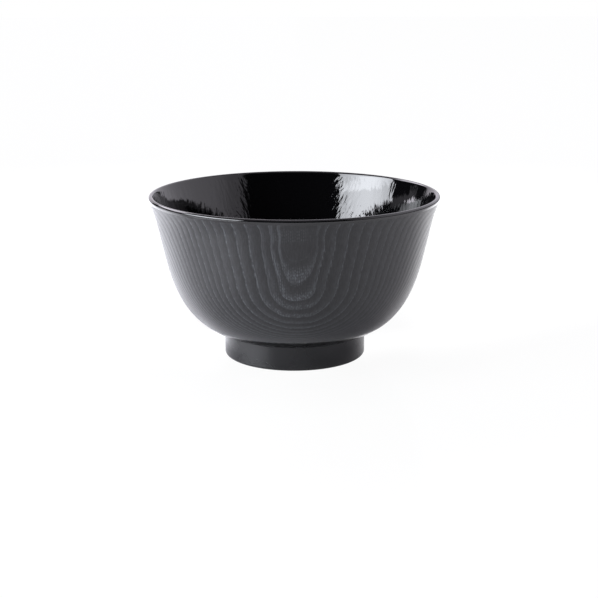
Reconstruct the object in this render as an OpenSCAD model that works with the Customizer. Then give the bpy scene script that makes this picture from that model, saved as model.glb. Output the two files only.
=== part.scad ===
// Lacquered soup bowl on a foot ring.
// A turned wood core carries the whole form. An undercoat seals it all over, and four
// top coats cover that: gloss inside and over the lip, satin open grain on the outer wall,
// smooth satin on the foot, and a last one inside the foot's recess.
// One closed outline of the finished bowl drives everything. Each coat is the band between
// two insets of that outline, so every skin has an even thickness and seats face to face.

/* [Bowl] */
// Outside diameter over the lip
rim_d = 120; // [105:1:140]
// Height from the resting face to the top of the lip
bowl_h = 68; // [58:1:80]

/* [Wall] */
// Thickness of the lip, which is fully rounded
rim_t = 2; // [1.6:0.1:3]
// Thickness of the wall at the shoulder
wall_t = 2.6; // [2:0.1:4]
// Thickness of the base on the axis, from the recess to the inside floor
base_t = 5; // [3.5:0.1:8]
// Lean of the wall at the shoulder, in degrees from upright
wall_lean = 13.3; // [9:0.1:17]
// Flare of the lip, in degrees from upright
lip_flare = 21.4; // [15:0.2:30]

/* [Foot] */
// Outside diameter of the foot ring
foot_d = 59; // [48:1:70]
// Height of the bowl's underside on the axis, as it would run on inside the foot
underside_h = 7; // [5:0.1:9]
// Width of the foot ring where it stands
foot_t = 3.6; // [3:0.1:6]
// Radius of the foot ring's lower edges
foot_edge_r = 1; // [0.8:0.1:1.2]
// Radius of the fillet between the foot ring and the bowl's underside
foot_fillet_r = 0.5; // [0.4:0.1:2]
// Depth of the recess inside the foot ring
recess_depth = 5; // [4.5:0.1:7]
// Draft of the recess's wall, in degrees from upright
recess_draft = 5; // [0:1:12]
// Radius of the fillet between the recess's wall and its ceiling
recess_fillet_r = 1.5; // [1:0.1:3]

/* [Coats] */
// Thickness of each top coat
top_coat_t = 0.2; // [0.15:0.05:0.3]
// Thickness of the undercoat
undercoat_t = 0.2; // [0.15:0.05:0.3]
// How far the gloss coat runs down the outside, below the rounded lip
lip_band = 0.7; // [0.3:0.1:2]
// How far the foot's coat runs up the belly, above the foot's fillet
foot_band = 1.1; // [0.5:0.1:2]

/* [Hidden] */

// Shares that shape the outline: where the shoulder lies, and how far each curve's handles pull
shoulder_out_share = 0.889;
shoulder_up_share = 0.56;
base_pull_share = 0.536;
belly_pull_share = 0.967;
inner_base_pull_share = 0.683;
inner_belly_pull_share = 0.683;
wall_pull_share = 0.69;
lip_pull_share = 0.318;

belly_steps = 30;
wall_steps = 14;
lip_steps = 12;
corner_steps = 6;
band_steps = 2;
search_steps = 40;
round_steps = 180;

rim_r = rim_d / 2;
foot_r = foot_d / 2;
lip_r = rim_t / 2;
skin_t = top_coat_t + undercoat_t;
floor_h = recess_depth + base_t;

// Points and directions are [distance from the axis, height]
function along(angle) = [sin(angle), cos(angle)];
function right_of(direction) = [direction.y, -direction.x];
function unit(v) = v / norm(v);
function polar(centre, radius, angle) = centre + radius * [cos(angle), sin(angle)];

// A cubic curve through its first and last points, and the way it runs at t
function curve_at(c, t) =
    pow(1 - t, 3) * c[0] + 3 * pow(1 - t, 2) * t * c[1] + 3 * (1 - t) * t * t * c[2] + pow(t, 3) * c[3];
function curve_way(c, t) =
    unit(pow(1 - t, 2) * (c[1] - c[0]) + 2 * (1 - t) * t * (c[2] - c[1]) + t * t * (c[3] - c[2]));
function curve_points(c, t0, t1, steps) = [for (i = [1 : steps]) curve_at(c, t0 + (t1 - t0) * i / steps)];

// Points of an arc after its first one
function arc_points(centre, radius, a0, a1, steps) =
    [for (i = [1 : steps]) polar(centre, radius, a0 + (a1 - a0) * i / steps)];

// The corner at b, on the way from a to c, rounded to a radius
function round_corner(a, b, c, radius, steps) =
    let (back = unit(a - b), on = unit(c - b))
    let (half = acos(back * on) / 2, centre = b + unit(back + on) * radius / sin(half))
    let (p = b + back * radius / tan(half) - centre, q = b + on * radius / tan(half) - centre)
    let (a0 = atan2(p.y, p.x), turn = atan2(p.x * q.y - p.y * q.x, p * q))
    [for (i = [0 : steps]) polar(centre, radius, a0 + turn * i / steps)];

// The belly runs level off the axis and ends at the shoulder, and the wall runs on to the lip
function belly_curve(start_h, shoulder, base_share, belly_share) = [
    [0, start_h],
    [shoulder.x * base_share, start_h],
    shoulder - along(wall_lean) * (shoulder.y - start_h) * belly_share,
    shoulder
];
function wall_curve(shoulder, top) = [
    shoulder,
    shoulder + along(wall_lean) * norm(top - shoulder) * wall_pull_share,
    top - along(lip_flare) * norm(top - shoulder) * lip_pull_share,
    top
];

lip_centre = [rim_r - lip_r, bowl_h - lip_r];
lip_out = lip_centre + right_of(along(lip_flare)) * lip_r;
lip_in = lip_centre - right_of(along(lip_flare)) * lip_r;
band_end = lip_out - along(lip_flare) * lip_band;

outer_shoulder = [rim_r * shoulder_out_share, underside_h + (bowl_h - underside_h) * shoulder_up_share];
inner_shoulder = outer_shoulder - right_of(along(wall_lean)) * wall_t;
outer_belly = belly_curve(underside_h, outer_shoulder, base_pull_share, belly_pull_share);
outer_wall = wall_curve(outer_shoulder, band_end);
inner_belly = belly_curve(floor_h, inner_shoulder, inner_base_pull_share, inner_belly_pull_share);
inner_wall = wall_curve(inner_shoulder, lip_in);

// The foot's fillet touches the belly at fillet_t, found by halving
function fillet_centre(t) = curve_at(outer_belly, t) + right_of(curve_way(outer_belly, t)) * foot_fillet_r;
function find_fillet(low, high, left) =
    let (mid = (low + high) / 2)
    left == 0 ? mid
    : fillet_centre(mid).x < foot_r + foot_fillet_r ? find_fillet(mid, high, left - 1)
    : find_fillet(low, mid, left - 1);
fillet_t = find_fillet(0, 1, search_steps);
fillet_mid = fillet_centre(fillet_t);
fillet_way = -right_of(curve_way(outer_belly, fillet_t));
fillet_angle = atan2(fillet_way.y, fillet_way.x);

// The foot's coat starts at band_t, which lies foot_band further up the belly
function above_fillet(t) = norm(curve_at(outer_belly, t) - curve_at(outer_belly, fillet_t));
function find_band(low, high, left) =
    let (mid = (low + high) / 2)
    left == 0 ? mid
    : above_fillet(mid) < foot_band ? find_band(mid, high, left - 1)
    : find_band(low, mid, left - 1);
band_t = find_band(fillet_t, 1, search_steps);

foot_top = [foot_r, fillet_mid.y];
foot_outer_corner = [foot_r, 0];
foot_inner_corner = [foot_r - foot_t, 0];
recess_corner = [foot_inner_corner.x - recess_depth * tan(recess_draft), recess_depth];
recess_centre = [0, recess_depth];

// The finished outline in four runs, from the inside floor over the lip, down the outside and into the recess
inner_run = concat(
    [[0, floor_h]],
    curve_points(inner_belly, 0, 1, belly_steps),
    curve_points(inner_wall, 0, 1, wall_steps),
    arc_points(lip_centre, lip_r, 180 - lip_flare, -lip_flare, lip_steps),
    [band_end]
);
wall_run = concat(
    curve_points(outer_wall, 1, 0, wall_steps),
    curve_points(outer_belly, 1, band_t, belly_steps)
);
foot_run = concat(
    curve_points(outer_belly, band_t, fillet_t, band_steps),
    arc_points(fillet_mid, foot_fillet_r, fillet_angle, 180, corner_steps),
    round_corner(foot_top, foot_outer_corner, foot_inner_corner, foot_edge_r, corner_steps),
    round_corner(foot_outer_corner, foot_inner_corner, recess_corner, foot_edge_r, corner_steps)
);
recess_run = concat(
    round_corner(foot_inner_corner, recess_corner, recess_centre, recess_fillet_r, corner_steps),
    [recess_centre]
);
outline = concat(inner_run, wall_run, foot_run, recess_run);

inner_end = len(inner_run) - 1;
wall_end = inner_end + len(wall_run);
foot_end = wall_end + len(foot_run);
outline_end = len(outline) - 1;

// Which way the outline's point i moves to go one unit into the material
function side_of(i) = right_of(unit(outline[i + 1] - outline[i]));
function inward(i) =
    i == 0 ? [0, -1]
    : i == outline_end ? [0, 1]
    : let (before = side_of(i - 1), after = side_of(i)) (before + after) / (1 + before * after);
function inset(i, depth) = outline[i] + inward(i) * depth;

// A skin between two depths, along a stretch of the outline
module skin(first, last, shallow, deep) {
    rotate_extrude($fn = round_steps)
        polygon(concat(
            [for (i = [first : last]) inset(i, shallow)],
            [for (i = [last : -1 : first]) inset(i, deep)]
        ));
}

module bowl_core() {
    color("peru")
        rotate_extrude($fn = round_steps)
            polygon([for (i = [0 : outline_end]) inset(i, skin_t)]);
}

module undercoat() {
    color("dimgray") skin(0, outline_end, top_coat_t, skin_t);
}

module inner_lacquer() {
    color("black") skin(0, inner_end, 0, top_coat_t);
}

module wall_lacquer() {
    color("darkslategray") skin(inner_end, wall_end, 0, top_coat_t);
}

module foot_lacquer() {
    color("black") skin(wall_end, foot_end, 0, top_coat_t);
}

module recess_lacquer() {
    color("black") skin(foot_end, outline_end, 0, top_coat_t);
}

bowl_core();
undercoat();
inner_lacquer();
wall_lacquer();
foot_lacquer();
recess_lacquer();
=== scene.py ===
import math
import bpy
import numpy as np
from mathutils import Euler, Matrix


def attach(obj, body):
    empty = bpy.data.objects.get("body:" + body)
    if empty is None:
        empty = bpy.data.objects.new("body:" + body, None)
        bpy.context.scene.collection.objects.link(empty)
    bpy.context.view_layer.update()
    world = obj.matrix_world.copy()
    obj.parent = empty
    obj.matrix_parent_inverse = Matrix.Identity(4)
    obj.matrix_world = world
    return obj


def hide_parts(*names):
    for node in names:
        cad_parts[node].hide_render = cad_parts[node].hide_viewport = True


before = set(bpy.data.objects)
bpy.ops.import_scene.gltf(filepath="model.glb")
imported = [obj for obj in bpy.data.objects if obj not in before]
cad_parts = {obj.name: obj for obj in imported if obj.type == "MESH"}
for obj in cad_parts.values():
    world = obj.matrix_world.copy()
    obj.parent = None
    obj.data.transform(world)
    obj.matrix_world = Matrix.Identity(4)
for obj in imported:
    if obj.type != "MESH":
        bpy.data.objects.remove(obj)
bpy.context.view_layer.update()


# The bowl's outline, from the same named values as the part's source, in millimetres

RIM_R, BOWL_H = 60.0, 68.0
LIP_R, WALL_T, BASE_T = 1.0, 2.6, 5.0
WALL_LEAN, LIP_FLARE = math.radians(13.3), math.radians(21.4)
FOOT_R, UNDERSIDE_H, FOOT_T, FOOT_EDGE_R, FOOT_FILLET_R = 29.5, 7.0, 3.6, 1.0, 0.5
RECESS_DEPTH, RECESS_DRAFT, RECESS_FILLET_R = 5.0, math.radians(5), 1.5
TOP_COAT_T, LIP_BAND, FOOT_BAND = 0.2, 0.7, 1.1
SHOULDER_OUT, SHOULDER_UP = 0.889, 0.56
OUTER_PULLS, INNER_PULLS = (0.536, 0.967), (0.683, 0.683)
WALL_PULL, LIP_PULL = 0.69, 0.318
MM = 0.001

# How finely the outline is drawn
BELLY_ROWS, WALL_ROWS, LIP_ROWS, CORNER_ROWS, BAND_ROWS = 70, 50, 16, 8, 4
CEILING_SHARES = (0.2, 0.5, 0.8)
FINE_STEPS, HALVINGS, ON_AXIS = 800, 40, 1e-9
SHARP_ANGLE = math.radians(35)


def along(angle):
    return np.array([math.sin(angle), math.cos(angle)])


def right_of(way):
    return np.array([way[1], -way[0]])


def unit(v):
    return v / np.linalg.norm(v)


def curve_at(c, t):
    s = 1 - t
    return s ** 3 * c[0] + 3 * s * s * t * c[1] + 3 * s * t * t * c[2] + t ** 3 * c[3]


def curve_way(c, t):
    s = 1 - t
    return unit(s * s * (c[1] - c[0]) + 2 * s * t * (c[2] - c[1]) + t * t * (c[3] - c[2]))


def curve_points(c, t0, t1, steps):
    """Points after the first one, evenly spaced along a stretch of a cubic curve."""
    fine = [curve_at(c, t0 + (t1 - t0) * i / FINE_STEPS) for i in range(FINE_STEPS + 1)]
    run = np.concatenate([[0], np.cumsum([np.linalg.norm(b - a) for a, b in zip(fine, fine[1:])])])
    at = np.interp(np.linspace(0, run[-1], steps + 1)[1:], run, np.linspace(t0, t1, FINE_STEPS + 1))
    return [curve_at(c, t) for t in at]


def arc_points(centre, radius, a0, a1, steps):
    """Points after the first one, along an arc."""
    angles = [a0 + (a1 - a0) * i / steps for i in range(1, steps + 1)]
    return [centre + radius * np.array([math.cos(a), math.sin(a)]) for a in angles]


def round_corner(a, b, c, radius, steps):
    """The corner at b, on the way from a to c, rounded to a radius."""
    back, on = unit(a - b), unit(c - b)
    half = math.acos(float(back @ on)) / 2
    centre = b + unit(back + on) * radius / math.sin(half)
    p = b + back * radius / math.tan(half) - centre
    q = b + on * radius / math.tan(half) - centre
    a0 = math.atan2(p[1], p[0])
    turn = math.atan2(p[0] * q[1] - p[1] * q[0], float(p @ q))
    angles = [a0 + turn * i / steps for i in range(steps + 1)]
    return [centre + radius * np.array([math.cos(t), math.sin(t)]) for t in angles]


def halve(low, high, too_low):
    """The value between low and high up to which too_low holds."""
    for _ in range(HALVINGS):
        middle = (low + high) / 2
        low, high = (middle, high) if too_low(middle) else (low, middle)
    return middle


def belly_curve(start_h, shoulder, pulls):
    return [np.array([0.0, start_h]), np.array([shoulder[0] * pulls[0], start_h]),
            shoulder - along(WALL_LEAN) * (shoulder[1] - start_h) * pulls[1], shoulder]


def wall_curve(shoulder, top):
    reach = np.linalg.norm(top - shoulder)
    return [shoulder, shoulder + along(WALL_LEAN) * reach * WALL_PULL,
            top - along(LIP_FLARE) * reach * LIP_PULL, top]


def bowl_outline():
    """The finished outline in four runs: inside, outer wall, foot and recess."""
    flare = along(LIP_FLARE)
    lip_centre = np.array([RIM_R - LIP_R, BOWL_H - LIP_R])
    lip_in = lip_centre - right_of(flare) * LIP_R
    band_end = lip_centre + right_of(flare) * LIP_R - flare * LIP_BAND
    shoulder = np.array([RIM_R * SHOULDER_OUT, UNDERSIDE_H + (BOWL_H - UNDERSIDE_H) * SHOULDER_UP])
    inner_shoulder = shoulder - right_of(along(WALL_LEAN)) * WALL_T
    floor = np.array([0.0, RECESS_DEPTH + BASE_T])
    belly, wall = belly_curve(UNDERSIDE_H, shoulder, OUTER_PULLS), wall_curve(shoulder, band_end)

    def fillet_centre(t):
        return curve_at(belly, t) + right_of(curve_way(belly, t)) * FOOT_FILLET_R

    def above_fillet(t):
        return np.linalg.norm(curve_at(belly, t) - curve_at(belly, fillet_t))

    fillet_t = halve(0.0, 1.0, lambda t: fillet_centre(t)[0] < FOOT_R + FOOT_FILLET_R)
    band_t = halve(fillet_t, 1.0, lambda t: above_fillet(t) < FOOT_BAND)
    centre, start = fillet_centre(fillet_t), -right_of(curve_way(belly, fillet_t))
    top, outer = np.array([FOOT_R, centre[1]]), np.array([FOOT_R, 0.0])
    inner = np.array([FOOT_R - FOOT_T, 0.0])
    corner = np.array([inner[0] - RECESS_DEPTH * math.tan(RECESS_DRAFT), RECESS_DEPTH])
    middle = np.array([0.0, RECESS_DEPTH])

    inside = [floor] + curve_points(belly_curve(floor[1], inner_shoulder, INNER_PULLS), 0, 1, BELLY_ROWS)
    inside += curve_points(wall_curve(inner_shoulder, lip_in), 0, 1, WALL_ROWS)
    inside += arc_points(lip_centre, LIP_R, math.pi - LIP_FLARE, -LIP_FLARE, LIP_ROWS) + [band_end]
    outside = curve_points(wall, 1, 0, WALL_ROWS) + curve_points(belly, 1, band_t, BELLY_ROWS)
    foot = curve_points(belly, band_t, fillet_t, BAND_ROWS)
    foot += arc_points(centre, FOOT_FILLET_R, math.atan2(start[1], start[0]), math.pi, CORNER_ROWS)
    foot += round_corner(top, outer, inner, FOOT_EDGE_R, CORNER_ROWS)
    foot += round_corner(outer, inner, corner, FOOT_EDGE_R, CORNER_ROWS)
    recess = round_corner(inner, corner, middle, RECESS_FILLET_R, CORNER_ROWS)
    recess += [corner + (middle - corner) * share for share in CEILING_SHARES] + [middle]
    return inside, outside, foot, recess


def inset(path, first, last, depth):
    """Points first to last of the outline, moved into the material along mitred normals."""
    moved = []
    for i in range(first, last + 1):
        if i == 0:
            move = np.array([0.0, -1.0])
        elif i == len(path) - 1:
            move = np.array([0.0, 1.0])
        else:
            before, after = right_of(unit(path[i] - path[i - 1])), right_of(unit(path[i + 1] - path[i]))
            move = (before + after) / (1 + before @ after)
        moved.append(path[i] + move * depth)
    return moved


# Turned shells

def turned_shell(name, front, back, columns, fade_rows):
    """A closed coat of one solid: its front path and its hidden back path, spun round the axis.
    The point attribute skin is 1 on the front, 0 on the back, and fades over the front's end rows."""
    rows = [(p, min(1.0, min(i, len(front) - 1 - i) / fade_rows) if fade_rows else 1.0)
            for i, p in enumerate(front)]
    rows += [(p, 0.0) for p in back]
    angles = np.arange(columns) * 2 * math.pi / columns
    round_it = np.column_stack([np.sin(angles), -np.cos(angles)])
    verts, skin, rings = [], [], []
    for p, share in rows:
        count = 1 if p[0] < ON_AXIS else columns
        rings.append(np.arange(count) + sum(len(v) for v in verts))
        spun = round_it[:count] * p[0] if count > 1 else np.zeros((1, 2))
        verts.append(np.column_stack([spun, np.full(count, p[1])]) * MM)
        skin.append(np.full(count, share))
    faces = []
    pairs = list(zip(rings, rings[1:]))
    if len(rings[0]) > 1:
        pairs.append((rings[-1], rings[0]))
    step = np.arange(columns)
    after = (step + 1) % columns
    for a, b in pairs:
        if len(a) == 1 and len(b) == 1:
            continue
        if len(a) == 1:
            faces += np.column_stack([a[step * 0], b[step], b[after]]).tolist()
        elif len(b) == 1:
            faces += np.column_stack([a[step], b[step * 0], a[after]]).tolist()
        else:
            faces += np.column_stack([a[step], b[step], b[after], a[after]]).tolist()
    mesh = bpy.data.meshes.new(name)
    mesh.from_pydata(np.concatenate(verts).tolist(), [], faces)
    mesh.attributes.new("skin", "FLOAT", "POINT").data.foreach_set("value", np.concatenate(skin))
    smooth(mesh)
    return add_object(name, mesh)


def smooth(mesh):
    mesh.polygons.foreach_set("use_smooth", [True] * len(mesh.polygons))
    mesh.set_sharp_from_angle(angle=SHARP_ANGLE)
    mesh.update()


def add_object(name, data):
    obj = bpy.data.objects.new(name, data)
    bpy.context.scene.collection.objects.link(obj)
    return obj


# Node trees written as Python expressions

class Value:
    """What comes out of a socket, with Python's operators."""

    def __init__(self, net, socket):
        self.net, self.socket = net, socket

    def __add__(self, b): return self.net.math("ADD", self, b)
    def __radd__(self, b): return self.net.math("ADD", b, self)
    def __sub__(self, b): return self.net.math("SUBTRACT", self, b)
    def __rsub__(self, b): return self.net.math("SUBTRACT", b, self)
    def __mul__(self, b): return self.net.math("MULTIPLY", self, b)
    def __rmul__(self, b): return self.net.math("MULTIPLY", b, self)
    def __truediv__(self, b): return self.net.math("DIVIDE", self, b)
    def __rtruediv__(self, b): return self.net.math("DIVIDE", b, self)
    def __pow__(self, b): return self.net.math("POWER", self, b)
    def __lt__(self, b): return self.net.math("LESS_THAN", self, b)
    def __neg__(self): return self.net.math("MULTIPLY", self, -1.0)
    def __abs__(self): return self.net.math("ABSOLUTE", self)


class Net:
    """A material's, world's or Geometry Nodes tree."""

    def __init__(self, tree):
        self.tree = tree

    def add(self, kind, settings=None, sockets=None, out=0):
        node = self.tree.nodes.new(kind)
        for key, value in (settings or {}).items():
            setattr(node, key, value)
        for key, value in (sockets or {}).items():
            if isinstance(value, Value):
                self.tree.links.new(value.socket, node.inputs[key])
            else:
                node.inputs[key].default_value = value
        return Value(self, node.outputs[out]) if len(node.outputs) else node

    def outs(self, kind, sockets=None):
        """Every output of a node, by name."""
        node = self.add(kind, None, sockets).socket.node
        return {socket.name: Value(self, socket) for socket in node.outputs}

    def math(self, operation, *values):
        return self.add("ShaderNodeMath", {"operation": operation}, dict(enumerate(values)))

    def scale(self, vector, factor):
        return self.add("ShaderNodeVectorMath", {"operation": "SCALE"}, {0: vector, "Scale": factor})

    def parts(self, place):
        return list(self.outs("ShaderNodeSeparateXYZ", {0: place}).values())

    def join(self, x, y, z):
        return self.add("ShaderNodeCombineXYZ", None, {0: x, 1: y, 2: z})

    def chance(self, a, b, c):
        """A number from 0 to 1, by luck, that is the same wherever a, b and c are the same."""
        return self.add("ShaderNodeTexWhiteNoise", {"noise_dimensions": "3D"}, {"Vector": self.join(a, b, c)})

    def noise(self, place, factors, detail=2.0, rough=0.5, shift=0.0):
        """Noise from 0 to 1, one cell to each unit of place times factors."""
        moved = self.add("ShaderNodeVectorMath", {"operation": "MULTIPLY_ADD"},
                         {0: place, 1: factors, 2: (shift, shift * 0.7, shift * 1.3)})
        return self.add("ShaderNodeTexNoise", None,
                        {"Vector": moved, "Scale": 1.0, "Detail": detail, "Roughness": rough})

    def rise(self, value, low, high):
        """0 below low, 1 above high, smooth between."""
        return self.add("ShaderNodeMapRange", {"interpolation_type": "SMOOTHSTEP"},
                        {"Value": value, "From Min": low, "From Max": high})

    def field(self, value, low, high, edge):
        """1 from low to high, 0 elsewhere, with a soft edge."""
        return self.rise(value, low - edge, low + edge) * (1.0 - self.rise(value, high - edge, high + edge))

    def blend(self, share, a, b):
        return self.add("ShaderNodeMix", {"data_type": "RGBA"}, {0: share, 6: colour(a), 7: colour(b)}, 2)


def colour(value):
    return value if isinstance(value, Value) else (*value, 1.0)


# The wood's growth rings and vessels, as its grain shows them, in millimetres from the bowl's origin

PITH_X, PITH_SQUEEZE, FRONT_RING_R = -0.70, 0.799, 53.19
SWAY_MID_Z, SWAY_SPAN, PITH_BENDS = 40.0, 30.0, (7.096, -2.032, 1.483)
LIP_BEND_Z, LIP_BEND = 56.0, 0.00871
ARCH_X, ARCH_FLAT = 1.8, 0.0022
RINGS_PER_MM, CLOSE_RINGS, CLOSE_REACH, GRAZE_REACH = 1.834, 2.258, 0.2387, 0.06
SLOW_DRIFT, QUICK_DRIFT = 0.4, 0.08
ROWS_PER_RING, VESSEL_PITCH, ROW_SHIFT = 8.0, 0.85, 9.0
FIRST_ROW_AT, FIRST_ROW_WIDTH, FIRST_ROW_WIDTH_ON_ARCH = 0.06, 0.058, 0.025
COMB_PITCH, COMB_LENGTH, COMB_SHIFT = 0.8, 1.35, 7.0
SMOOTH_R = 38.9


def ring_place(net, place):
    """How far a point lies to the right of and behind the pith, which sways with height, and how deep
    it lies inside the ring that grazes the front of the wall.
    The rings are a little flatter than round where they graze it."""
    x, y, z = net.parts(place)
    w = (z - SWAY_MID_Z) / SWAY_SPAN
    bend = net.math("MAXIMUM", z - LIP_BEND_Z, 0.0)
    sway = w * (PITH_BENDS[0] + w * (PITH_BENDS[1] + w * PITH_BENDS[2]))
    off = x - ARCH_X
    flat = off * off * (1.0 - net.rise(abs(off), 2.0, 9.0)) * ARCH_FLAT
    right, behind = (x - PITH_X) * PITH_SQUEEZE, y + sway + bend * bend * LIP_BEND - flat
    return right, behind, FRONT_RING_R - (right * right + behind * behind) ** 0.5


def ring_count(net, place, depth):
    """A number that grows by 1 from one growth ring to the next, outwards from the pith.
    The outermost rings in front lie closer together, and open into long arches on the wall."""
    close = 1.0 - net.math("EXPONENT", net.math("MAXIMUM", depth, 0.0) * (-1.0 / CLOSE_REACH))
    grazing = net.math("MAXIMUM", net.math("MINIMUM", depth, 0.0), -GRAZE_REACH)
    count = depth * -RINGS_PER_MM - (close + grazing / CLOSE_REACH) * CLOSE_RINGS
    unsteady = 0.1 + 0.9 * net.rise(depth, 0.0, 1.5)
    count = count + (net.noise(place, (0.045, 0.045, 0.015), 1.0) - 0.5) * SLOW_DRIFT * unsteady
    return count + (net.noise(place, (0.3, 0.3, 0.03), 1.0, shift=7.0) - 0.5) * QUICK_DRIFT * unsteady


def vessel_spots(net, right, behind, count):
    """Single vessels in rows along the rings, one to each cell of a row, set and sized by luck."""
    row = net.math("FLOOR", count * ROWS_PER_RING)
    along_row = net.math("ARCTAN2", right, -behind) * (FRONT_RING_R / VESSEL_PITCH)
    along_row = along_row + net.chance(row, 2.0, 0.0) * ROW_SHIFT
    cell = net.math("FLOOR", along_row)
    off_row = (count * ROWS_PER_RING - row - 0.5) * 2.0
    off_cell = (along_row - cell - 0.35 - net.chance(row, cell, 4.0) * 0.3) * 2.3
    return (1.0 - net.rise(off_row * off_row + off_cell * off_cell, 0.2, 1.3)) * net.chance(row, cell, 6.0)


def vessels(net, place):
    """The wood's vessels: small tubes in rows along the rings, a full row at the start of each ring
    and fewer and fewer after it. Gives how strongly a point is in one, how far it is
    through its ring, and how much it is late, plain wood."""
    right, behind, depth = ring_place(net, place)
    count = ring_count(net, place, depth)
    number = net.math("FLOOR", count)
    share = count - number
    x, y, z = net.parts(place)
    arch = (1.0 - net.rise(abs(x - PITH_X), 4.0, 14.0)) * net.rise(z, 18.0, 34.0)
    beyond = -depth
    plain = net.rise(beyond, -0.015, 0.01) * (1.0 - net.rise(beyond, 0.3, 0.6))
    width = FIRST_ROW_WIDTH - (FIRST_ROW_WIDTH - FIRST_ROW_WIDTH_ON_ARCH) * arch
    dots = net.rise(net.noise(place, (1.1, 1.1, 0.7), 1.0, shift=13.0), 0.35, 0.65)
    first = 1.0 - net.rise(abs(share - FIRST_ROW_AT), width * 0.3, width)
    first = first * (0.22 + 0.72 * dots) * (1.0 - 0.45 * arch)
    few = 1.0 - net.rise(share, 0.1 + 0.25 * arch, 0.6)
    early = (vessel_spots(net, right, behind, count) * (0.25 + 0.75 * arch) + 0.08) * few
    # Painted shade: the pale vessel marks fade to half their strength on the right, where less light falls.
    painted_shade_right = 1.0 - 0.5 * net.rise(x, 0.0, 32.0)
    strength = (0.55 + 0.45 * net.chance(number, 5.0, 1.0)) * painted_shade_right
    tick = net.math("MAXIMUM", first, early) * strength * (1.0 - plain)
    late = net.math("MAXIMUM", net.rise(share, 0.35, 0.95), plain)
    return tick + combs(net, place, share) * 0.5, share, late


def combs(net, place, share):
    """Where a ring only grazes the wall, at the foot of each arch and near the lip, its vessels are cut
    lengthwise and show as combs of short upright strokes."""
    x, y, z = net.parts(place)
    column = net.math("FLOOR", x / COMB_PITCH)
    up = z / COMB_LENGTH + net.chance(column, 3.0, 8.0) * COMB_SHIFT
    cell = net.math("FLOOR", up)
    off_x, off_up = abs(x / COMB_PITCH - column - 0.5) * 2.0, abs(up - cell - 0.5) * 2.0
    stroke = (1.0 - net.rise(off_x, 0.15, 0.8)) * (1.0 - net.rise(off_up, 0.35, 1.0))
    stroke = stroke * (0.25 + 0.75 * net.chance(column, cell, 9.0))
    near = 1.0 - net.rise(abs(x - PITH_X), 4.5, 9.0)
    dense = 1.0 - net.rise(net.math("WRAP", share, 0.95, -0.05), 0.55, 0.85)
    low = net.rise(z, 32.0, 36.0) * (1.0 - net.rise(z, 50.5, 51.5)) * dense
    high = net.rise(z, 58.5, 60.0) * (1.0 - net.rise(z, 63.5, 65.0))
    return stroke * near * (low + high * 0.6) * (y < 0)


def ring_lines(net, place):
    """The rings without their vessels, for relief. Gives 1 along the start of each ring, and how much
    relief there is: none in front of the pith, where a ring only grazes the wall."""
    x, y, z = net.parts(place)
    count = ring_count(net, place, ring_place(net, place)[2])
    share = count - net.math("FLOOR", count)
    grazed = (1.0 - net.rise(abs(x - PITH_X), 6.0, 14.0)) * net.rise(z, 24.0, 34.0) * (y < 0)
    return net.rise(share, 0.0, 0.1) * (1.0 - net.rise(share, 0.15, 0.6)), 1.0 - grazed


# Finishes

SATIN_BLACK, SATIN_BLACK_PALE = (0.007, 0.0065, 0.0075), (0.011, 0.011, 0.012)
LATE_BLACK, FILLED_BLACK = (0.003, 0.003, 0.0035), (0.0025, 0.0025, 0.003)
# The pale grey of the strip above the foot is a painted reflection of the bright table.
FIBRE_GREY, VESSEL_GREY, PAINTED_REFLECTION_GREY = (0.030, 0.031, 0.034), (0.085, 0.092, 0.100), (0.060, 0.060, 0.064)
GLOSS_BLACK, GLOSS_BLACK_PALE = (0.0012, 0.0012, 0.0015), (0.0022, 0.0021, 0.0025)
FOOT_BLACK, FOOT_BLACK_PALE = (0.004, 0.0035, 0.0045), (0.007, 0.007, 0.008)
RUBBED_BROWN = (0.045, 0.042, 0.04)
GROUND_DARK, GROUND_PALE = (0.022, 0.020, 0.019), (0.036, 0.033, 0.031)
EARLY_WOOD, LATE_WOOD, VESSEL_BROWN = (0.55, 0.38, 0.22), (0.42, 0.27, 0.15), (0.24, 0.14, 0.07)
SATIN_IOR, GLOSS_IOR = 1.5, 1.6
INSIDE_R, LEAN_MID_Z = 55.0, 50.0


def material_net(name):
    """A new material, its net, and the place of a point in millimetres."""
    mat = bpy.data.materials.new(name)
    mat.use_nodes = True
    mat.node_tree.nodes.clear()
    net = Net(mat.node_tree)
    return mat, net, net.scale(net.add("ShaderNodeTexCoord", None, None, "Object"), 1 / MM)


def finish_material(net, sockets):
    shader = net.add("ShaderNodeBsdfPrincipled", None, sockets)
    net.add("ShaderNodeOutputMaterial", None, {"Surface": shader})


def bump(net, height, distance):
    return net.add("ShaderNodeBump", None, {"Height": height, "Distance": distance * MM, "Strength": 1.0})


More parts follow.
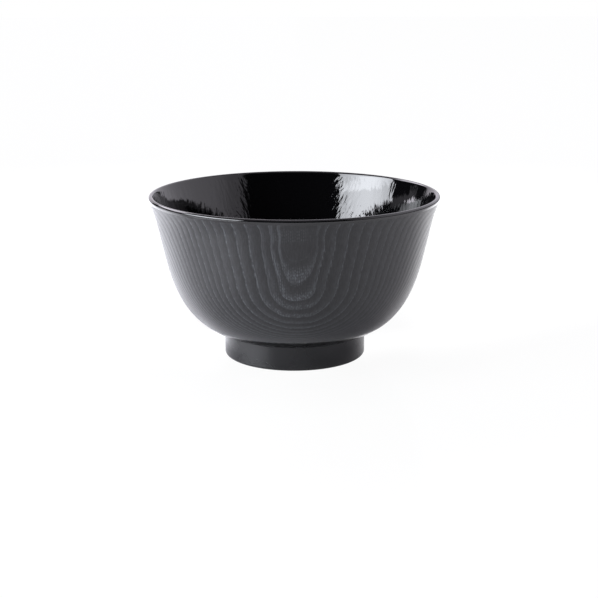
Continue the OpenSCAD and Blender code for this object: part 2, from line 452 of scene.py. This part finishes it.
def satin_grain():
    """The outer wall: thin satin black lacquer that the wood's rings and vessels stand in.
    Round the foot, inside SMOOTH_R, it is filled smooth and black, up to a ragged edge. Just above that edge
    a pale strip, strongest on the left, is a painted reflection of the bright table."""
    mat, net, place = material_net("satin_grain_lacquer")
    tick, share, late = vessels(net, place)
    fibre = net.noise(place, (1.6, 1.6, 0.1), 2.0, 0.7, shift=11.0)
    cloud = net.noise(place, (0.05, 0.05, 0.03), 2.0, shift=5.0)
    x, y, z = net.parts(place)
    radius = (x * x + y * y) ** 0.5
    ragged = radius + (net.noise(place, (1.3, 1.3, 0.4), 2.0, 0.6, shift=2.0) - 0.5) * 3.5
    grained = net.rise(ragged, SMOOTH_R - 0.4, SMOOTH_R + 0.4)
    # Painted reflection: a pale strip above the smooth band round the foot, where the wall would mirror the
    # bright table.
    painted_table_reflection = grained * (1.0 - net.rise(radius, SMOOTH_R, SMOOTH_R + 4.0))
    shade = net.blend(cloud, SATIN_BLACK, SATIN_BLACK_PALE)
    shade = net.blend(late * 0.6, shade, LATE_BLACK)
    shade = net.blend(net.rise(fibre, 0.35, 0.75) * (0.6 - 0.25 * late), shade, FIBRE_GREY)
    shade = net.blend(tick, shade, VESSEL_GREY)
    # The painted reflection is strongest on the left, where the light comes from.
    shade = net.blend(painted_table_reflection * (0.3 + 0.7 * net.rise(-x, 2.0, 24.0)), shade, PAINTED_REFLECTION_GREY)
    shade = net.blend(grained, FILLED_BLACK, shade)
    rough = 0.12 + grained * (0.22 + 0.12 * tick + 0.06 * fibre)
    height = (tick * -0.7 + fibre * 0.35) * grained
    finish_material(net, {"Base Color": shade, "Roughness": rough, "IOR": SATIN_IOR,
                          "Normal": bump(net, height, 0.06)})
    return mat


def gloss_black():
    """The inside and the lip: gloss black lacquer over faint strokes of the wood's fibres. At the back
    they lean away from the middle, and at the sides they stand upright. They fade out over the floor,
    and are about 0 on average, so that nothing steps where they end."""
    mat, net, place = material_net("gloss_black_lacquer")
    x, y, z = net.parts(place)
    out = INSIDE_R ** 2 / (x * x + y * y + 1.0)
    side = net.rise(abs(x), 22.0, 36.0)
    lean = (net.rise(x, -12.0, 12.0) - 0.5) * (1.0 - side)
    upright = net.join(x * out - (z - LEAN_MID_Z) * lean, y * out, z)
    stroke = net.noise(upright, (0.5, 0.5, 0.06), 1.0) + 0.3 * net.noise(upright, (1.6, 1.6, 0.22), 1.0)
    on_wall = net.rise(z, 13.0, 26.0) * (1.0 - net.rise(z, 65.5, 67.0))
    wave = net.noise(place, (0.12, 0.12, 0.05), 1.0, shift=3.0)
    drift = net.noise(place, (0.05, 0.05, 0.03), 1.0, shift=9.0)
    height = (stroke - 0.65) * on_wall * (1.25 - 0.25 * side) + wave
    finish_material(net, {"Base Color": net.blend(drift, GLOSS_BLACK, GLOSS_BLACK_PALE),
                          "Roughness": 0.035 + 0.02 * drift, "IOR": GLOSS_IOR,
                          "Normal": bump(net, height, 0.08)})
    return mat


def satin_black():
    """The foot and its recess: smooth satin black, with faint turning marks and a rubbed edge."""
    mat, net, place = material_net("satin_black_lacquer")
    x, y, z = net.parts(place)
    radius = (x * x + y * y) ** 0.5
    turning = net.noise(net.join(radius, 0.0, z), (2.4, 1.0, 2.4), 3.0, 0.6)
    cloud = net.noise(place, (0.09, 0.09, 0.09), 3.0, shift=4.0)
    rubbed = (1.0 - net.rise(z, 0.05, 0.5)) * net.rise(cloud, 0.35, 0.65)
    shade = net.blend(rubbed * 0.5, net.blend(cloud, FOOT_BLACK, FOOT_BLACK_PALE), RUBBED_BROWN)
    rough = 0.24 + 0.06 * cloud + 0.12 * rubbed
    finish_material(net, {"Base Color": shade, "Roughness": rough, "IOR": SATIN_IOR, "Anisotropic": 0.6,
                          "Normal": bump(net, turning + cloud * 0.5, 0.02)})
    return mat


def ground_coat():
    """The coat under the finish: matt black, a little uneven."""
    mat, net, place = material_net("ground_coat")
    speck = net.noise(place, (1.5, 1.5, 1.5), 3.0, 0.6)
    finish_material(net, {"Base Color": net.blend(speck, GROUND_DARK, GROUND_PALE),
                          "Roughness": 0.62 + 0.15 * speck, "Normal": bump(net, speck, 0.04)})
    return mat


def turned_wood():
    """The core: pale brown turned wood with the same growth rings."""
    mat, net, place = material_net("turned_wood")
    tick, share, late = vessels(net, place)
    shade = net.blend(tick * 0.8, net.blend(share, EARLY_WOOD, LATE_WOOD), VESSEL_BROWN)
    finish_material(net, {"Base Color": shade, "Roughness": 0.55 + 0.15 * tick,
                          "Normal": bump(net, tick * -1.0, 0.06)})
    return mat


# Real relief of the growth lines, on the outer wall's own mesh

LINE_DEPTH, SWELL_HEIGHT = 0.05 * MM, 0.06 * MM


def grain_relief_tree(mat):
    tree = bpy.data.node_groups.new("grain_relief", "GeometryNodeTree")
    tree.interface.new_socket("Geometry", in_out="INPUT", socket_type="NodeSocketGeometry")
    tree.interface.new_socket("Line depth", in_out="INPUT", socket_type="NodeSocketFloat")
    tree.interface.new_socket("Swell height", in_out="INPUT", socket_type="NodeSocketFloat")
    tree.interface.new_socket("Geometry", in_out="OUTPUT", socket_type="NodeSocketGeometry")
    net = Net(tree)
    given = net.outs("NodeGroupInput")
    place = net.scale(net.add("GeometryNodeInputPosition"), 1 / MM)
    line, carved = ring_lines(net, place)
    skin = net.add("GeometryNodeInputNamedAttribute", {"data_type": "FLOAT"}, {"Name": "skin"})
    swell = net.noise(place, (0.06, 0.06, 0.02), 1.0, shift=6.0) - 0.5
    out = (swell * given["Swell height"] - line * given["Line depth"]) * skin * carved
    push = net.scale(net.add("GeometryNodeInputNormal"), out)
    moved = net.add("GeometryNodeSetPosition", None, {"Geometry": given["Geometry"], "Offset": push})
    real = net.add("GeometryNodeRealizeInstances", None, {"Geometry": moved})
    painted = net.add("GeometryNodeSetMaterial", None, {"Geometry": real, "Material": mat})
    net.add("NodeGroupOutput", None, {"Geometry": painted})
    return tree


def carve_grain(obj, mat):
    """Runs the relief on a shell once and keeps the result as its plain mesh."""
    tree = grain_relief_tree(mat)
    modifier = obj.modifiers.new("grain_relief", "NODES")
    modifier.node_group = tree
    sizes = {"Line depth": LINE_DEPTH, "Swell height": SWELL_HEIGHT}
    for item in tree.interface.items_tree:
        if item.in_out == "INPUT" and item.name in sizes:
            modifier[item.identifier] = sizes[item.name]
    graph = bpy.context.evaluated_depsgraph_get()
    carved = bpy.data.meshes.new_from_object(obj.evaluated_get(graph))
    obj.modifiers.remove(modifier)
    flat, obj.data = obj.data, carved
    bpy.data.meshes.remove(flat)
    carved.name = obj.name
    smooth(carved)


# Pieces

def coats():
    """The four visible coats: inside and lip, outer wall, foot and recess."""
    runs = bowl_outline()
    path = sum(runs, [])
    ends = np.cumsum([len(run) for run in runs]) - 1

    def coat(name, first, last, columns, back_step, fade_rows=0):
        """One coat. Its hidden back keeps its end points and every back_step-th one between."""
        back = inset(path, first, last, TOP_COAT_T)[::-1]
        kept = [p for i, p in enumerate(back) if i in (0, len(back) - 1) or i % back_step == 0]
        return turned_shell(name, path[first:last + 1], kept, columns, fade_rows)

    return (coat("inside_and_lip", 0, ends[0], 420, 4),
            coat("outer_wall", ends[0], ends[1], 600, 12, fade_rows=4),
            coat("foot_ring", ends[1], ends[2], 480, 2),
            coat("recess_face", ends[2], ends[3], 360, 2))


inner, wall, ring, base = coats()
satin_grain_mat, gloss_mat, satin_mat = satin_grain(), gloss_black(), satin_black()
for piece, mat in ((inner, gloss_mat), (wall, satin_grain_mat), (ring, satin_mat), (base, satin_mat)):
    piece.data.materials.append(mat)
carve_grain(wall, satin_grain_mat)

for node, mat in (("undercoat", ground_coat()), ("bowl_core", turned_wood())):
    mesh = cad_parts[node].data
    mesh.materials.clear()
    mesh.materials.append(mat)

for piece, node, slot in ((inner, "inner_lacquer", "gloss_lacquer"), (wall, "wall_lacquer", "grain_lacquer"),
                          (ring, "foot_lacquer", "satin_lacquer"), (base, "recess_lacquer", "satin_lacquer")):
    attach(piece, "root")
    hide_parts(node)


# Floor, studio and camera

WHITE = (1.0, 1.0, 1.0, 1.0)
FLOOR_HALF, FLOOR_GREY, FLOOR_SHEEN, FLOOR_SHEEN_ROUGH = 4.0, (0.80, 0.80, 0.80, 1.0), 0.12, 0.12
FLOOR_WHITENESS = 0.93
# Colours of the painted glow on the table, on its left and its right.
PAINTED_GLOW_TINT_LEFT, PAINTED_GLOW_TINT_RIGHT = (0.985, 1.0, 1.07), (1.0, 1.0, 1.0)
ROOM_TINT, BEHIND_TINT, WINDOW_TINT = (1.015, 0.985, 1.08), (1.05, 1.0, 1.09), (0.97, 1.0, 1.06)
ROOM_DARK, BEHIND_LEVEL, WINDOW_LEVEL, TOP_LEVEL = 0.012, 1.05, 11.5, 0.35

# Bright fields of the room, in degrees: where their turn and their height start and end, and how soft
# the edge is. The small ones to the left and behind also have their brightness
WINDOW_TURNS, WINDOW_HEIGHTS, STRIP_HEIGHTS = (-97.0, -43.5, 0.8), (11.8, 38.0, 0.8), (22.0, 28.5, 1.0)
SIDE_FIELDS = (((-156.0, -108.0, 3.0), (23.0, 42.0, 3.0), 5.0),
               ((-128.0, -98.0, 2.0), (8.5, 13.0, 0.8), 0.3),
               ((-130.0, -118.0, 1.0), (6.6, 9.0, 0.5), 4.5))

# The camera, fitted to the photograph
PHOTO_WIDTH, FOCAL_LENGTH, SENSOR_WIDTH = 598, 1271.3, 36.0
CAMERA_PLACE = (0.00183, -0.5199, 0.1571)
LOOK_DOWN, ROLL = math.radians(14.5), math.radians(-0.14)


def painted_table_glow(net, place):
    """A painted pool of light that the table glows with round the bowl, and how much a point is on the left
    half.
    It is brightest behind the bowl, dim in front, with painted shade at the foot and in front of it on the
    right, where the bowl's shadow falls, and fades out far away. In millimetres."""
    x, y, z = net.parts(place)
    away = (x * x + y * y) ** 0.5
    left = 1.0 - net.rise(x, -20.0, 20.0)
    far = net.rise(away, 40.0, 62.0)
    on_left = net.rise(y, -35.0, 20.0) * 0.45 + net.rise(y, -20.0, 70.0) * 1.35 + 0.15
    on_left = on_left + (1.0 - net.rise(away, 46.0, 62.0)) * net.rise(y, -35.0, 0.0) * 0.35
    on_left = on_left + (1.0 - net.rise(away, 62.0, 80.0)) * net.rise(y, -25.0, 20.0) * 0.35
    on_left = left * on_left * (0.35 + 0.65 * net.rise(away, 33.0, 43.0))
    across = net.rise(y - x * 0.75, -48.0 - 27.0 * far, -12.0 + 17.0 * far)
    on_right = (1.0 - left) * across * (0.9 + 0.4 * far)
    around = 0.17 * net.rise(away, 50.0, 90.0)
    right_end = 0.1 * (1.0 - left) * net.rise(away, 120.0, 170.0)
    near = 1.0 - net.rise(away, 250.0, 600.0)
    beside = 1.0 - net.rise(y, 10.0, 40.0) * (1.0 - net.rise(abs(x), 40.0, 80.0))
    return (on_left + on_right + around + right_end) * near * beside, left


def white_floor():
    corners = [(-FLOOR_HALF, -FLOOR_HALF, 0), (FLOOR_HALF, -FLOOR_HALF, 0),
               (FLOOR_HALF, FLOOR_HALF, 0), (-FLOOR_HALF, FLOOR_HALF, 0)]
    mesh = bpy.data.meshes.new("floor")
    mesh.from_pydata(corners, [], [(0, 1, 2, 3)])
    floor = add_object("floor", mesh)
    mat, net, place = material_net("floor_white")
    bright, left = painted_table_glow(net, place)
    path = net.outs("ShaderNodeLightPath")
    seen = path["Is Camera Ray"] + path["Is Transmission Ray"]
    lit = net.add("ShaderNodeBsdfDiffuse", None, {"Color": FLOOR_GREY})
    sheen = net.add("ShaderNodeBsdfGlossy", None, {"Color": WHITE, "Roughness": FLOOR_SHEEN_ROUGH})
    table = net.add("ShaderNodeMixShader", None, {0: FLOOR_SHEEN, 1: lit, 2: sheen})
    # Painted light on the table: a pool of glow round the bowl, with painted shade near the foot and to its
    # right.
    tint = net.scale(net.blend(left, PAINTED_GLOW_TINT_RIGHT, PAINTED_GLOW_TINT_LEFT), bright)
    table = net.add("ShaderNodeAddShader", None,
                    {0: table, 1: net.add("ShaderNodeEmission", None, {"Color": tint, "Strength": 1.0})})
    glow = net.add("ShaderNodeEmission", None, {"Color": WHITE, "Strength": 1.0})
    mixed = net.add("ShaderNodeMixShader", None, {0: seen * FLOOR_WHITENESS, 1: table, 2: glow})
    net.add("ShaderNodeOutputMaterial", None, {"Surface": mixed})
    mesh.materials.append(mat)


def studio_world():
    """The studio as the gloss inside shows it. Its lamps are in it as bright fields: a tall window
    to the left, a pale wall to the right and behind, and a soft top light. It is dark round the camera.
    Turn is 0 towards the camera and grows to the right. The camera itself sees plain white."""
    world = bpy.data.worlds.new("studio")
    bpy.context.scene.world = world
    world.use_nodes = True
    world.node_tree.nodes.clear()
    net = Net(world.node_tree)
    x, y, z = net.parts(net.add("ShaderNodeTexCoord", None, None, "Generated"))
    turn = net.math("ARCTAN2", x, -y) * (180 / math.pi)
    height = net.math("ARCSINE", z) * (180 / math.pi)

    right = net.rise(turn, 46.0, 52.0) * (0.62 + 0.45 * net.rise(turn, 55.0, 82.0))
    dark_top = 11.2 - 0.9 * net.rise(turn, 62.0, 90.0) - 7.0 * net.rise(turn, 108.0, 158.0)
    low_dark = 1.0 - net.rise(height, dark_top, dark_top + 1.3)
    right = right * (1.0 - low_dark * 0.93 * net.rise(height, -3.0, 0.0))
    behind = 1.0 - net.rise(turn, -148.0, -143.0)
    level = ROOM_DARK + right + behind * BEHIND_LEVEL

    window = net.field(turn, *WINDOW_TURNS) * net.field(height, *WINDOW_HEIGHTS)
    across = 0.60 + 0.40 * net.rise(turn, -100.0, -72.0) * (1.0 - net.rise(turn, -66.0, -36.0))
    strip = 1.0 + 0.28 * net.field(height, *STRIP_HEIGHTS)
    level = level + window * across * strip * WINDOW_LEVEL
    for turns, heights, bright in SIDE_FIELDS:
        level = level + net.field(turn, *turns) * net.field(height, *heights) * bright

    top = net.rise(height, 40.0, 60.0)
    level = level * (1.0 - top) + top * TOP_LEVEL
    path = net.outs("ShaderNodeLightPath")
    seen = path["Is Camera Ray"] + path["Is Transmission Ray"]
    level = level * (1.0 - seen) + seen
    tint = net.blend(window, net.blend(behind, ROOM_TINT, BEHIND_TINT), WINDOW_TINT)
    tint = net.scale(net.blend(seen, tint, WHITE[:3]), level)
    sky = net.add("ShaderNodeBackground", None, {"Color": tint, "Strength": 1.0})
    net.add("ShaderNodeOutputWorld", None, {"Surface": sky})


def photo_camera():
    """A 76.5 mm lens, 520 mm in front of the bowl's axis, looking 14.5 degrees down."""
    camera = bpy.data.cameras.new("camera")
    camera.sensor_width = SENSOR_WIDTH
    camera.lens = FOCAL_LENGTH / PHOTO_WIDTH * SENSOR_WIDTH
    camera.clip_start, camera.clip_end = 0.01, 50
    obj = add_object("camera", camera)
    obj.location = CAMERA_PLACE
    look = Euler((math.pi / 2 - LOOK_DOWN, 0, 0)).to_matrix()
    obj.rotation_euler = (look @ Euler((0, 0, ROLL)).to_matrix()).to_euler()
    bpy.context.scene.camera = obj


white_floor()
studio_world()
photo_camera()
bpy.context.scene.view_settings.view_transform = "Standard"
